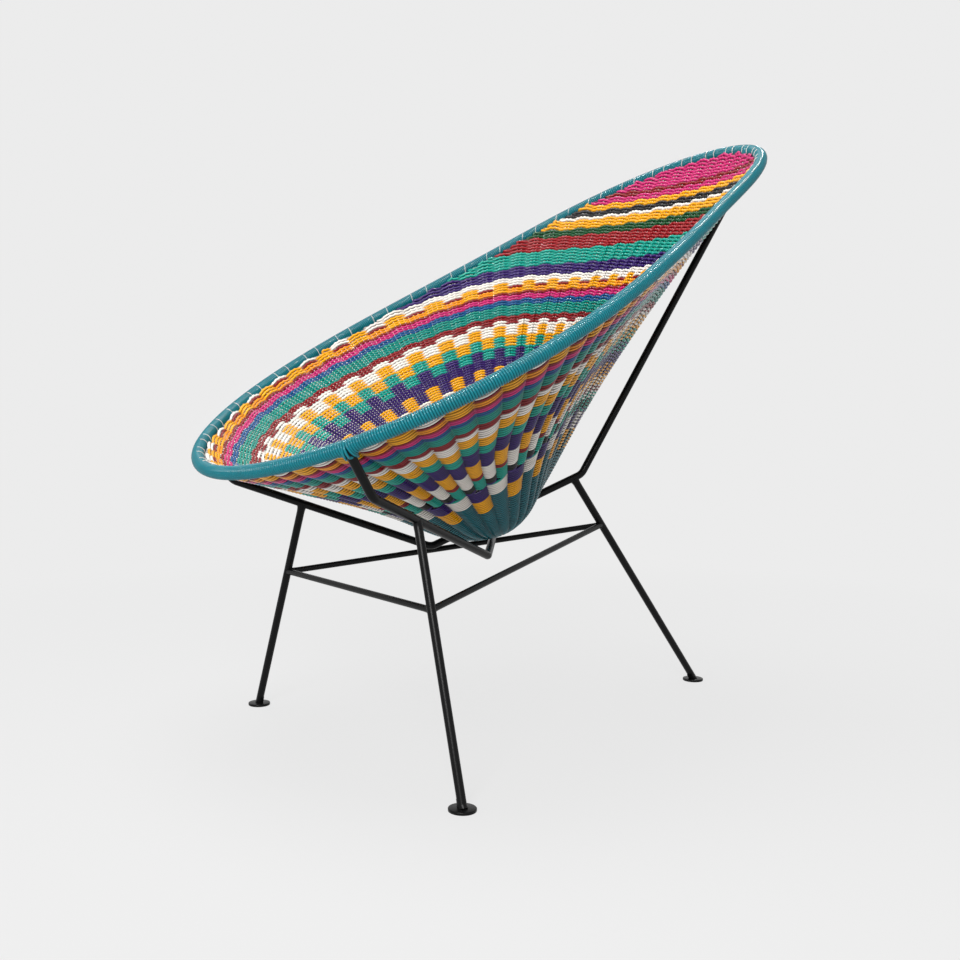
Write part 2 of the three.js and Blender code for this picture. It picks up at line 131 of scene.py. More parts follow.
nose = np.array([0, seatSpec["noseBack"] + ringSpec["toOrigin"], seatSpec["noseHeight"]])
noseAxis = np.array([0, -math.sin(seatSpec["lean"]), math.cos(seatSpec["lean"])])


def wallPoints(phi, s):
    toRing = ringPoints(phi) - nose
    radial = unit(toRing - (toRing @ noseAxis)[..., None] * noseAxis)
    rise = s / seatSpec["swellShare"]
    swell = (seatSpec["swell"] + seatSpec["swellFront"] * np.cos(phi)) * rise * np.exp(1 - rise)
    hollow = (seatSpec["hollow"] - seatSpec["hollowFront"] * np.cos(phi)
              - seatSpec["hollowSides"] * np.cos(2 * phi))
    return nose + toRing * s[..., None] + radial * (swell - hollow * 4 * s * (1 - s))[..., None]


# The wall is measured once into a grid: angle round the ring by share of the way up the wall
gridRound, gridUp = 720, 400


def measureWall():
    phi = np.linspace(0, fullTurn, gridRound + 1)
    s = np.linspace(0, 1, gridUp + 1)
    points = wallPoints(phi[:, None] + 0 * s, s[None, :] + 0 * phi[:, None])
    steps = np.linalg.norm(np.diff(points, axis=1), axis=2)
    arc = np.concatenate([np.zeros((gridRound + 1, 1)), np.cumsum(steps, axis=1)], axis=1)
    even = np.empty_like(points)
    for i in range(gridRound + 1):
        for k in range(3):
            even[i, :, k] = np.interp(s * arc[i, -1], arc[i], points[i, :, k])
    up = np.gradient(even, axis=1)
    wrapped = np.concatenate([even[-2:-1], even, even[1:2]])
    out = np.cross(wrapped[2:] - wrapped[:-2], up)
    out /= np.maximum(np.linalg.norm(out, axis=2, keepdims=True), 1e-12)
    out[:, 0] = unit(out[:, 1:4].mean(axis=(0, 1)))  # the nose's own point faces as its surroundings do
    return even, out, arc[:, -1]


wallGrid, outGrid, wallDepths = measureWall()


# How far the ring is from the nose, along the wall
def depthAt(phi):
    return np.interp(np.mod(phi, fullTurn) / fullTurn * gridRound, np.arange(gridRound + 1), wallDepths)


# Points and outward directions at these angles and distances from the nose
def onWall(phi, depth):
    a = np.mod(phi, fullTurn) / fullTurn * gridRound
    b = np.clip(depth / depthAt(phi), 0, 1) * gridUp
    i = np.minimum(a.astype(int), gridRound - 1)
    j = np.minimum(b.astype(int), gridUp - 1)
    fa, fb = (a - i)[..., None], (b - j)[..., None]

    def blendOf(grid):
        return ((grid[i, j] * (1 - fb) + grid[i, j + 1] * fb) * (1 - fa)
                + (grid[i + 1, j] * (1 - fb) + grid[i + 1, j + 1] * fb) * fa)
    return blendOf(wallGrid), unit(blendOf(outGrid))


# The wall's outward directions just below the ring
def outAtRing(phi):
    return onWall(phi, depthAt(phi) * seatSpec["belowRing"])[1]


# Rows lie farther up the wall towards the back
def rowLag(phi):
    return 1 + seatSpec["rowLag"] * ((1 - np.cos(phi)) / 2) ** 1.5


# How far up the wall a row runs. Towards the front the rows lie nearer to the ring.
frontShift = {
    "angles": np.radians([-110, -85, -58, -34, 0, 15, 30, 50]),
    "shares": [0, 0, 0.2, 0.95, 0.95, 0.7, 0.3, 0],
    "bases": [0, 150, 300, 360, 440, 700],
    "rises": [0, 10 * mm, 22 * mm, 26 * mm, 16 * mm, 16 * mm],
}


def rowDepth(phi, base):
    ahead = np.interp(np.mod(phi + math.pi, fullTurn) - math.pi, frontShift["angles"], frontShift["shares"])
    return base * mm * rowLag(phi) + ahead * np.interp(base, frontShift["bases"], frontShift["rises"])


# A place counts the wide columns round the seat. The angles between their middles are smoothed.
placeSpec = {"perColumn": 10, "smoothedOver": 7}


def measurePlaces():
    per, over = placeSpec["perColumn"], placeSpec["smoothedOver"]
    middles = np.radians([columnAngles[-1] - 360] + columnAngles + [columnAngles[0] + 360])
    places = np.linspace(0, wideColumns, wideColumns * per + 1)
    angles = np.interp(places, np.arange(-1, wideColumns + 1), middles)
    wrapped = np.concatenate([angles[-per - 1:-1] - fullTurn, angles, angles[1:per + 1] + fullTurn])
    return places, np.convolve(wrapped, np.ones(over) / over, mode="same")[per:-per]


finePlace, finePhi = measurePlaces()


def angleOf(place):
    turns = np.floor(place / wideColumns)
    return np.interp(place - turns * wideColumns, finePlace, finePhi) + turns * fullTurn


def placeOf(phi):
    turns = math.floor((phi - finePhi[0]) / fullTurn)
    return np.interp(phi - turns * fullTurn, finePhi, finePlace) + turns * wideColumns


# Near the ring the columns on the sitter's left lean towards the back, in shares of a column
leanSpec = {
    "places": [2.5, 3, 4, 5, 6, 7, 8, 9, 10.5],
    "shares": [0, 0.03, 0.16, 0.27, 0.24, 0.21, 0.14, 0.07, 0],
    "from": 260,
    "over": 110,
}


def leanOf(places, base):
    share = np.clip((base - leanSpec["from"]) / leanSpec["over"], 0, 1)
    return np.interp(places, leanSpec["places"], leanSpec["shares"]) * share


# Cord swept along many paths at once, as one mesh. Each path gives its points, the directions that the
# first corner of its section faces, whether it closes, how far out in the wall it runs, and its radii.
# How far out it runs sets the painted shade: darkening painted into the cord's colour where shadow falls
# between cords. The last argument is the share of that painted shade the cord takes.
sweepSpec = {"capReach": 0.5, "capPaintedShade": 0.5}


def sweepCords(name, paths, sides, withPaintedShade=1.0):
    verts, faces, shades, base = [], [], [], 0
    corner = np.arange(sides)
    following = (corner + 1) % sides
    turn = corner / sides * fullTurn
    for points, normals, closed, lift, radii in paths:
        n = len(points)
        if closed:
            tangent = unit(np.roll(points, -1, axis=0) - np.roll(points, 1, axis=0))
        else:
            tangent = unit(np.gradient(points, axis=0))
        u = squareTo(normals, tangent)
        v = np.cross(tangent, u)
        radii = np.broadcast_to(radii, (n,))[:, None, None]
        section = np.cos(turn)[None, :, None] * u[:, None, :] + np.sin(turn)[None, :, None] * v[:, None, :]
        verts.append((points[:, None, :] + radii * section).reshape(-1, 3))
        # Painted shade for each corner of the section, standing in for the shadow between cords
        shades.append(withPaintedShade * paintedGrooveShade(np.cos(turn)[None, :], lift[:, None]).ravel())
        rows = n if closed else n - 1
        a = base + np.arange(rows)[:, None] * sides
        b = base + (np.arange(1, rows + 1)[:, None] % n) * sides
        quads = np.stack([a + corner, a + following, b + following, b + corner], axis=-1)
        faces.append(quads.reshape(-1, 4))
        first, last = base, base + (n - 1) * sides
        base += n * sides
        if not closed:
            startCap = points[0] - tangent[0] * radii[0, 0] * sweepSpec["capReach"]
            endCap = points[-1] + tangent[-1] * radii[-1, 0] * sweepSpec["capReach"]
            verts.append(np.stack([startCap, endCap]))
            # The tips of a cord are painted half in shade
            shades.append(np.full(2, sweepSpec["capPaintedShade"]))
            for tip, one, other in ((base, first + following, first + corner),
                                    (base + 1, last + corner, last + following)):
                faces.append(np.stack([np.full(sides, tip), one, other, np.full(sides, -1)], axis=-1))
            base += 2
    return meshFrom(name, np.concatenate(verts), np.concatenate(faces), np.concatenate(shades))


# How deep in a groove a point of a cord's section lies, as painted shade that stands in for the shadow
# between cords: 0 on the open crest, 1 where cords press together. The side facing away is painted partly in
# shade too. Facing is 1 on the wall's outside and -1 on its inside; lift is where the cord runs, on the same
# scale.
paintedShadeSpec = {
    "outside": {"least": 0.5, "from": 0.3, "over": 0.7},
    "inside": {"least": 0.72, "from": 0.1, "over": 0.45},
    "behind": 0.5,
    "behindLoss": 0.4,
}


def paintedGrooveShade(facing, lift):
    same = np.clip(facing * np.sign(lift), 0, 1)
    height = np.minimum(np.abs(lift), 1)

    def crestOn(side):
        wide = np.clip((same - side["from"]) / side["over"], 0, 1)
        return wide * (side["least"] + (1 - side["least"]) * height)
    crest = np.where(lift > 0, crestOn(paintedShadeSpec["outside"]), crestOn(paintedShadeSpec["inside"]))
    most = paintedShadeSpec["behind"] - paintedShadeSpec["behindLoss"] * height
    behind = np.clip(-facing * np.sign(lift), 0, 1) * most
    return 1 - np.clip(np.maximum(crest, behind), 0, 1)


# A fourth corner of -1 makes a triangle
def meshFrom(name, verts, faces, shades):
    mesh = bpy.data.meshes.new(name)
    sizes = np.where(faces[:, 3] < 0, 3, 4)
    loops = faces.reshape(-1)
    loops = loops[loops >= 0]
    mesh.vertices.add(len(verts))
    mesh.vertices.foreach_set("co", verts.astype(np.float32).ravel())
    mesh.loops.add(len(loops))
    mesh.loops.foreach_set("vertex_index", loops.astype(np.int32))
    mesh.polygons.add(len(faces))
    starts = np.concatenate([[0], np.cumsum(sizes)[:-1]])
    mesh.polygons.foreach_set("loop_start", starts.astype(np.int32))
    mesh.polygons.foreach_set("use_smooth", np.ones(len(faces), bool))
    mesh.update(calc_edges=True)
    # The painted groove shade goes on each point, for the cord finishes to darken their colour with
    paintedShade = mesh.attributes.new("paintedShade", "FLOAT", "POINT")
    paintedShade.data.foreach_set("value", shades.astype(np.float32))
    mesh.validate()
    piece = bpy.data.objects.new(name, mesh)
    scene.collection.objects.link(piece)
    return piece


# Extruded plastic cord: even colour with a slight batch shade, gloss, and painted shade that darkens the
# colour where cords press together, standing in for the shadow between them
cordColours = {
    "teal": "046C78", "petrol": "1E626C", "yellow": "F4A808", "white": "F0EAE2", "purple": "311664",
    "turquoise": "059A88", "maroon": "860C14", "black": "0E0E10", "pink": "C8226E", "green": "044C22",
    "red": "980C16", "navy": "085088", "seaGreen": "048A7C", "orange": "F0920A",
}
cordLook = {
    "specular": 0.28,
    "batch": {"scale": 38, "detail": 3, "shades": (0.84, 1.14)},
    # how dark the painted shade makes the colour at its deepest, as a share of the colour
    "paintedGrooveShade": 0.1,
    "wear": {"scale": 420, "detail": 2, "roughness": (0.07, 0.14), "bump": 0.06, "height": 0.3 * mm},
}
# Satin black powder coat with a fine orange-peel surface
steelLook = {
    "specular": 0.12,
    "coat": {"scale": 12, "detail": 2, "colours": ((0.0025, 0.0025, 0.0027, 1), (0.005, 0.005, 0.0052, 1))},
    "peel": {"scale": 500, "detail": 2, "roughness": (0.25, 0.36), "bump": 0.05, "height": 0.2 * mm},
}
mixFirst, mixSecond, mixResult = 6, 7, 2  # sockets of a node that mixes colours


def linearColour(text):
    values = [int(text[i:i + 2], 16) / 255 for i in (0, 2, 4)]
    return [v / 12.92 if v <= 0.04045 else ((v + 0.055) / 1.055) ** 2.4 for v in values]


def newFinish(name, specular):
    material = bpy.data.materials.new(name)
    material.use_nodes = True
    shader = material.node_tree.nodes["Principled BSDF"]
    shader.inputs["Specular IOR Level"].default_value = specular
    where = material.node_tree.nodes.new("ShaderNodeTexCoord")
    return material, material.node_tree, shader, where


def addNoise(tree, where, spec):
    noise = tree.nodes.new("ShaderNodeTexNoise")
    noise.inputs["Scale"].default_value = spec["scale"]
    noise.inputs["Detail"].default_value = spec["detail"]
    tree.links.new(where.outputs["Object"], noise.inputs["Vector"])
    return noise.outputs["Fac"]


def addMix(tree, share, second):
    mix = tree.nodes.new("ShaderNodeMix")
    mix.data_type = "RGBA"
    mix.inputs[mixSecond].default_value = second
    tree.links.new(share, mix.inputs["Factor"])
    return mix


# The same fine noise varies the gloss and raises the surface
def addSurface(tree, shader, where, spec):
    noise = addNoise(tree, where, spec)
    rough = tree.nodes.new("ShaderNodeMapRange")
    rough.inputs["To Min"].default_value, rough.inputs["To Max"].default_value = spec["roughness"]
    tree.links.new(noise, rough.inputs["Value"])
    tree.links.new(rough.outputs["Result"], shader.inputs["Roughness"])
    bump = tree.nodes.new("ShaderNodeBump")
    bump.inputs["Strength"].default_value = spec["bump"]
    bump.inputs["Distance"].default_value = spec["height"]
    tree.links.new(noise, bump.inputs["Height"])
    tree.links.new(bump.outputs["Normal"], shader.inputs["Normal"])


def cordFinish(colour):
    material, tree, shader, where = newFinish("cord" + colour[0].upper() + colour[1:], cordLook["specular"])
    plain = linearColour(cordColours[colour])
    darker, lighter = [[min(1, c * shade) for c in plain] + [1] for shade in cordLook["batch"]["shades"]]
    batch = addMix(tree, addNoise(tree, where, cordLook["batch"]), lighter)
    batch.inputs[mixFirst].default_value = darker
    # Painted shade: the colour is darkened by the painted groove shade stored on the mesh
    paintedShade = tree.nodes.new("ShaderNodeAttribute")
    paintedShade.attribute_name = "paintedShade"
    withPaintedShade = addMix(tree, paintedShade.outputs["Fac"], [c * cordLook["paintedGrooveShade"] for c in plain] + [1])
    tree.links.new(batch.outputs[mixResult], withPaintedShade.inputs[mixFirst])
    tree.links.new(withPaintedShade.outputs[mixResult], shader.inputs["Base Color"])
    addSurface(tree, shader, where, cordLook["wear"])
    return material


def steelFinish():
    material, tree, shader, where = newFinish("satinBlackSteel", steelLook["specular"])
    darker, lighter = steelLook["coat"]["colours"]
    coat = addMix(tree, addNoise(tree, where, steelLook["coat"]), lighter)
    coat.inputs[mixFirst].default_value = darker
    tree.links.new(coat.outputs[mixResult], shader.inputs["Base Color"])
    addSurface(tree, shader, where, steelLook["peel"])
    return material


finishes = {name: cordFinish(name) for name in cordColours}
steel = steelFinish()


def dress(piece, colour, *nodes):
    piece.data.materials.append(finishes[colour])
    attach(piece, "root")
    if nodes:
        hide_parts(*nodes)


# Woven rows. Two sets of rows alternate: where one passes outside a column, the other passes inside.
# Each colour runs to the given distance from the nose, in millimetres, and so do the other distances of rows.
firstRows = [
    (146, "petrol"), (176, "yellow"), (207, "purple"), (220, "black"), (256, "white"), (294, "purple"),
    (313, "turquoise"), (334, "yellow"), (354, "white"), (371, "maroon"), (390, "seaGreen"), (400, "navy"),
    (412, "pink"), (417, "maroon"), (428, "orange"), (432, "maroon"), (470, "white"),
]
secondRows = [
    (174, "petrol"), (202, "white"), (232, "turquoise"), (243.5, "maroon"), (277, "yellow"), (312, "purple"),
    (333, "turquoise"), (353, "yellow"), (363, "white"), (374, "maroon"), (395, "seaGreen"), (402, "navy"),
    (414, "pink"), (419, "maroon"), (442, "yellow"), (470, "white"),
]
backRows = [
    (472, "purple"), (500, "turquoise"), (528, "red"), (545, "green"), (562, "yellow"), (569, "white"),
    (579, "black"), (594, "yellow"), (604, "pink"), (614, "maroon"), (665, "pink"),
]
# Pitches are those of one set, in millimetres. Columns halve in width at splitAt. A row that meets the ring
# is cut into a stretch between frontSides and one between backSides, and from backFrom on the stretches at
# the back have colours of their own.
rowSpec = {
    "start": 3,
    "end": 662,
    "splitAt": 205,
    "tightPitch": 4.5,
    "openFrom": 300,
    "openPitch": 5.2,
    "backFrom": 448.5,
    "backPitch": 6.1,
    "backSides": (math.radians(54), math.radians(306)),
    "frontSides": (math.radians(-54), math.radians(54)),
    "sideSteps": 1001,
    "leastSteps": 12,
    "stepsInside": 12,
    "stepsOutside": 8,
    "endGap": 0.02,
    "sides": 6,
    "clearOfRod": 0.15 * mm,
    "wobble": 0.16 * mm,
    "wobbleWaves": ((2.39, 1.7), (0.71, 4.3)),
}
# A row's waves through the wall. Of out, outShape and in, the first value holds near the nose and the second
# near the ring. A share of a column's width limits each height, and over each of a column's warps the inside
# bulges. The pairs of cord and lift are the value between columns and what is added in a column's middle.
# Lift sets only the painted shade: inside a column it falls between the warps, which paints dark holes where
# shadow falls between the rows, and it falls where the rows cross, which paints shade there.
waveSpec = {
    "out": (4.6 * mm, 3.6 * mm),
    "outShare": 0.24,
    "outShape": (0.72, 0.66),
    "in": (2.7 * mm, 2.4 * mm),
    "inShare": 0.16,
    "inShape": 0.85,
    "bump": 1.1 * mm,
    "bumpShare": 0.042,
    "warps": 4,
    "flattenFrom": 300,
    "flattenOver": 120,
    "behindShare": 0.42,
    "cord": 0.44,
    "cordOut": (0.84, 0.16),
    "cordIn": (0.82, 0.14),
    "cordBump": 0.03,
    "liftIn": (0.45, 0.55),
    "liftBump": (0.6, 0.4),
    "middle": 0.6,
    "sag": 1.6 * mm,
    "sagFrom": 300,
    "scallop": 2.6 * mm,
    "tuckIn": 4 * mm,
    "tuckFrom": 26 * mm,
    "backPull": 3.5 * mm,
    "backPullGain": 1.6,
    "endPoints": 6,
    "endHeight": 0.15,
}

# Each solid's outer edge, as the rows' distances from the nose
solidEdges = [
    (160, "weave_nose_petrol"), (205, "weave_ring_yellow_check"), (238, "weave_ring_turquoise_check"),
    (262, "weave_ring_white_check"), (303, "weave_ring_purple"), (322, "weave_ring_turquoise"),
    (341, "weave_ring_yellow"), (355, "weave_ring_white"), (368, "weave_ring_maroon"),
    (383, "weave_ring_sea_green"), (393, "weave_ring_navy"), (412, "weave_ring_pink"),
    (430, "weave_ring_orange"), (453, "weave_ring_outer_white"), (475, "weave_back_purple"),
    (506, "weave_back_turquoise"), (533, "weave_back_red"), (552, "weave_back_green"),
    (569, "weave_back_lower_yellow"), (583, "weave_back_white"), (594, "weave_back_black"),
    (610, "weave_back_upper_yellow"), (618, "weave_back_lower_pink"), (628, "weave_back_dark_red"),
    (665, "weave_back_upper_pink"),
]


def solidsIn(low, high):
    found, edge = [], 0
    for nextEdge, name in solidEdges:
        if low < nextEdge and high > edge:
            found.append(name)
        edge = nextEdge
    return found


# Rods pass close under the nose: cords there give way to them
def clearOfRods(points, radius):
    for centre, rod in rodRuns:
        start, step = centre[:-1], np.diff(centre, axis=0)
        reach = rod + radius + rowSpec["clearOfRod"]
        lowest, highest = centre.min(0) - reach, centre.max(0) + reach
        near = np.nonzero(((points > lowest) & (points < highest)).all(1))[0]
        if not len(near):
            continue
        offset = points[near][:, None] - start[None]
        share = np.clip((offset * step[None]).sum(2) / (step ** 2).sum(1)[None], 0, 1)
        away = offset - share[..., None] * step[None]
        far = np.linalg.norm(away, axis=2)
        pick = far.argmin(1)
        rows = np.arange(len(near))
        gap = far[rows, pick]
        push = np.maximum(reach - gap, 0) / np.maximum(gap, 1e-9)
        points[near] += away[rows, pick] * push[:, None]
    return points


# How far a row dips inside a column, and how far it bulges there over a warp
def dipOf(columnWidth, size, deepest):
    return np.minimum(deepest, columnWidth * waveSpec["inShare"]) * size ** waveSpec["inShape"]


def bulgeOf(columnWidth, size):
    return np.minimum(waveSpec["bump"], columnWidth * waveSpec["bumpShare"]) * size ** 0.5


# Places along a row, in wide columns, denser where it passes inside a column, over the warps
def rowPlaces(narrow, side, first, last):
    width = 0.5 if narrow else 1
    begin = (0 if side > 0 else 0.5) if narrow else (0.5 if side > 0 else 1.5)
    inside = (np.arange(rowSpec["stepsInside"]) + 0.5) / rowSpec["stepsInside"]
    outside = 1 + (np.arange(rowSpec["stepsOutside"]) + 0.5) / rowSpec["stepsOutside"]
    pair = begin + np.concatenate([inside, outside]) * width
    firstTurn, lastTurn = [(place - begin) / (2 * width) for place in (first, last)]
    turns = np.arange(math.floor(firstTurn) - 1, math.ceil(lastTurn) + 1)
    places = (pair[None, :] + turns[:, None] * 2 * width).ravel()
    return places[(places >= first) & (places < last)]


# One row through the wall; side is 1 for the first set of rows and -1 for the second. A row that turns back
# follows the ring to its next place.
def rowPath(base, side, pitch, places, ends=False, atRing=False):
    phi = angleOf(places + leanOf(places, base))
    edge = depthAt(phi) - seatSpec["edge"]
    wobble = sum(np.sin(places * a + base * b) for a, b in rowSpec["wobbleWaves"]) * rowSpec["wobble"]
    depth = edge if atRing else rowDepth(phi, base) + wobble
    narrow = base >= rowSpec["splitAt"]
    halves = 2 if narrow else 1
    wave = side * (-np.sin(fullTurn * places) if narrow else np.cos(math.pi * places))
    bump = -np.cos(fullTurn * waveSpec["warps"] * halves * places)
    size, isOut = np.abs(wave), wave > 0
    swell = size ** 0.5
    toRing = float(np.clip((base - waveSpec["flattenFrom"]) / waveSpec["flattenOver"], 0, 1))
    highest, deepest, shape = [a + (b - a) * toRing for a, b in (
        waveSpec["out"], waveSpec["in"], waveSpec["outShape"])]
    behind = (1 - np.cos(phi)) / 2
    highest = highest * (1 - (1 - waveSpec["behindShare"]) * behind)
    columnWidth = depth * fullTurn / (wideColumns * halves)
    height = np.where(isOut, np.minimum(highest, columnWidth * waveSpec["outShare"]) * size ** shape,
                      -dipOf(columnWidth, size, deepest) - bulgeOf(columnWidth, size) * bump)
    # Lift only sets the painted shade: lower inside between the warps and where the rows cross
    (inLeast, inGain), (flatLeast, flatGain) = waveSpec["liftIn"], waveSpec["liftBump"]
    lift = np.where(isOut, size ** shape, -(inLeast + inGain * swell) * (flatLeast + flatGain * bump))
    (outLeast, outGain), (inLeast, inGain) = waveSpec["cordOut"], waveSpec["cordIn"]
    radii = pitch * mm * waveSpec["cord"] * np.where(
        isOut, outLeast + outGain * swell, (inLeast + inGain * swell) * (1 - waveSpec["cordBump"] * bump))
    if ends:
        fromEnd = np.minimum(np.arange(len(places)), np.arange(len(places))[::-1])
        height = height * np.clip((1 + fromEnd) / waveSpec["endPoints"], waveSpec["endHeight"], 1)
    near = (waveSpec["tuckFrom"] + seatSpec["edge"] - (depthAt(phi) - depth)) / waveSpec["tuckFrom"]
    near = np.clip(near, 0, 1)
    sag = waveSpec["sag"] * min(base / waveSpec["sagFrom"], 1)
    depth = depth + (size - waveSpec["middle"]) * np.where(isOut, -sag, waveSpec["scallop"] * near)
    points, out = onWall(phi, depth)
    up = depth / depthAt(phi)
    pull = waveSpec["backPull"] * np.clip(behind * waveSpec["backPullGain"], 0, 1) * 4 * up * (1 - up)
    points = points + out * (height - pull - waveSpec["tuckIn"] * near ** 2)[:, None]
    centre = ringPoints(phi)
    reach = (ringSpec["rod"] + 2 * ringSpec["cord"] + radii)[:, None]
    away = np.linalg.norm(points - centre, axis=1, keepdims=True)
    points = np.where(away < reach, centre + (points - centre) * reach / away, points)
    return clearOfRods(points, radii.max()), out, lift, radii


# Angles between which this row stays clear of the ring: none for a whole turn, or a front and a back stretch
def stretchesOf(base):
    def clearAngles(low, high):
        phi = np.linspace(low, high, rowSpec["sideSteps"])
        return phi[depthAt(phi) - seatSpec["edge"] - rowDepth(phi, base) > 0]
    if len(clearAngles(-math.pi, math.pi)) == rowSpec["sideSteps"]:
        return None
    found = [(False, clearAngles(*rowSpec["backSides"])), (True, clearAngles(*rowSpec["frontSides"]))]
    return [(front, clear[0], clear[-1]) for front, clear in found if len(clear) > rowSpec["leastSteps"]]


def listRows():
    rows = []
    base = rowSpec["start"]
    while base < rowSpec["end"]:
        pitch = rowSpec["tightPitch"] if base < rowSpec["openFrom"] else rowSpec["openPitch"]
        if base >= rowSpec["backFrom"]:
            pitch = rowSpec["backPitch"]
        rows += [(base, 1, pitch), (base + pitch / 2, -1, pitch)]
        base += pitch
    return rows


# Rows of one colour, as closed turns and as stretches that turn back at the ring. Ahead tells which
# stretches are taken from backFrom on: those at the front, or those at the back.
def weaveRows(name, colour, mine, ahead, nodes):
    paths, zigzags = [], {}
    for base, side, pitch in mine:
        narrow = base >= rowSpec["splitAt"]
        stretches = stretchesOf(base)
        if stretches is None:
            points, out, lift, radii = rowPath(base, side, pitch, rowPlaces(narrow, side, 0, wideColumns))
            paths.append((points, out, True, lift, radii))
            continue
        for front, start, end in stretches:
            if front != ahead and base >= rowSpec["backFrom"]:
                continue
            here = placeOf(start), placeOf(end)
            parts, before = zigzags.setdefault(front, ([], []))
            step = -1 if len(before) % 2 else 1
            if before:
                a, b = (before[-1][1], here[1]) if step < 0 else (before[-1][0], here[0])
                places = rowPlaces(narrow, side, min(a, b), max(a, b))[::1 if b > a else -1]
                if len(places):
                    parts.append(rowPath(base, side, pitch, places, atRing=True))
            between = rowPlaces(narrow, side, here[0] + rowSpec["endGap"], here[1] - rowSpec["endGap"])
            places = np.concatenate([here[:1], between, here[1:]])
            parts.append([v[::step] for v in rowPath(base, side, pitch, places, ends=True)])
            before.append(here)
    for parts, _ in zigzags.values():
        points, out, lift, radii = [np.concatenate(v) for v in zip(*parts)]
        paths.append((points, out, False, lift, radii))
    if paths:
        dress(sweepCords(name, paths, rowSpec["sides"]), colour, *nodes)


def weaveSeat():
    rows = listRows()
    for letter, side, runs in (("a", 1, firstRows), ("b", -1, secondRows)):
        low = 0
        for edge, colour in runs:
            mine = [r for r in rows if r[1] == side and low <= r[0] < edge]
            if mine:
                weaveRows(f"weave_{letter}_{int(low)}_{colour}", colour, mine, True,
                          solidsIn(low, min(edge, rowSpec["backFrom"])))
            low = edge
    low = rowSpec["backFrom"]
    for edge, colour in backRows:
        mine = [r for r in rows if low <= r[0] < edge]
        weaveRows(f"weave_back_{int(low)}_{colour}", colour, mine, False, solidsIn(low, edge))
        low = edge
    print("woven rows", len(rows))


# Pale warp cords run up inside the weave, eight to a wide column, and show between the rows on the inside.
# Near the nose they run in pairs. Two of each eight pass over the wound ring and end between its turns.
warpSpec = {
    "cord": 0.7 * mm,
    "perColumn": 8,
    "from": 30 * mm,
    "steps": 48,
    "pairedTo": 180,
    "partOver": 50,
    "leanAt": 400,
    "proud": 0.1 * mm,
    "proudFrom": 200 * mm,
    "sunk": 1.1 * mm,
    "sunkFrom": 450 * mm,
    "sunkOver": 50 * mm,
    "sides": 6,
    # share of the painted groove shade, standing in for the shadow between cords, that the warps take
    "withPaintedShade": 0.5,
    "looped": (2, 5),
    "loop": 0.45 * mm,
    "loopTurn": (12, 112),
    "loopSteps": 12,
    "loopSunk": 0.8,
}


def warpPath(column, k):
    count, steps = warpSpec["perColumn"], warpSpec["steps"]
    placeEnd = column + (k - (count - 1) / 2) / count
    placePaired = column + (k // 2 - (count / 2 - 1) / 2) / (count / 2)
    phiEnd = angleOf(np.array([placeEnd + leanOf(placeEnd, warpSpec["leanAt"])]))
    reach = depthAt(phiEnd)[0] - ringSpec["rod"] - 2 * ringSpec["cord"] - 2 * warpSpec["cord"]
    depth = np.linspace(warpSpec["from"], reach, steps)
    split = np.clip((depth / mm - warpSpec["pairedTo"]) / warpSpec["partOver"], 0, 1)
    place = placePaired * (1 - split) + placeEnd * split
    size = np.abs(np.cos(math.pi * place)) * (1 - split) + np.abs(np.sin(fullTurn * place)) * split
    columnWidth = depth * fullTurn / (wideColumns + wideColumns * split)
    inward = dipOf(columnWidth, size, waveSpec["in"][0]) + bulgeOf(columnWidth, size)
    points, out = onWall(angleOf(place + leanOf(place, depth / mm / rowLag(phiEnd))), depth)
    proud = warpSpec["proud"] * np.clip(depth / warpSpec["proudFrom"], 0, 1)
    sunk = warpSpec["sunk"] * np.clip((depth - warpSpec["sunkFrom"]) / warpSpec["sunkOver"], 0, 1)
    points = points - out * (inward + (proud - sunk))[:, None]
    radii = np.full(steps, warpSpec["cord"])
    if k not in warpSpec["looped"]:
        return points, out, False, np.full(steps, -1.0), radii
    centre, wallOut = ringPoints(phiEnd)[0], outAtRing(phiEnd)[0]
    below = points[-1] - centre
    below = unit(below - (below @ wallOut) * wallOut)
    turn = np.radians(np.linspace(*warpSpec["loopTurn"], warpSpec["loopSteps"]))[:, None]
    around = np.cos(turn) * below - np.sin(turn) * wallOut
    sunk = np.linspace(warpSpec["loopSunk"], 0, warpSpec["loopSteps"])[:, None] * warpSpec["loop"]
    loop = centre + around * (ringSpec["rod"] + 2 * ringSpec["cord"] + sunk)
    return (np.concatenate([points, loop]), np.concatenate([-out, around]), False,
            np.full(steps + warpSpec["loopSteps"], 1.0),
            np.concatenate([radii, np.full(warpSpec["loopSteps"], warpSpec["loop"])]))


def warpSeat():
    half = wideColumns // 2
    for name, columns in (("warp_cords_left", range(half)), ("warp_cords_right", range(half, wideColumns))):
        paths = [warpPath(column, k) for column in columns for k in range(warpSpec["perColumn"])]
        dress(sweepCords(name, paths, warpSpec["sides"], warpSpec["withPaintedShade"]), "white")
    print("warps strung")


# Cord wound round the ring. Beside each rod the turns slide down it, so that they cover the weld.
wrapSpec = {
    "slide": 10 * mm,
    "spread": 8 * mm,
    "perTurn": 14,
    "sides": 8,
    # share of the painted groove shade, standing in for the shadow between turns, that the wound cord takes
    "withPaintedShade": 0.6,
    "ringSteps": 7200,
    "aheadBy": 0.001,
}


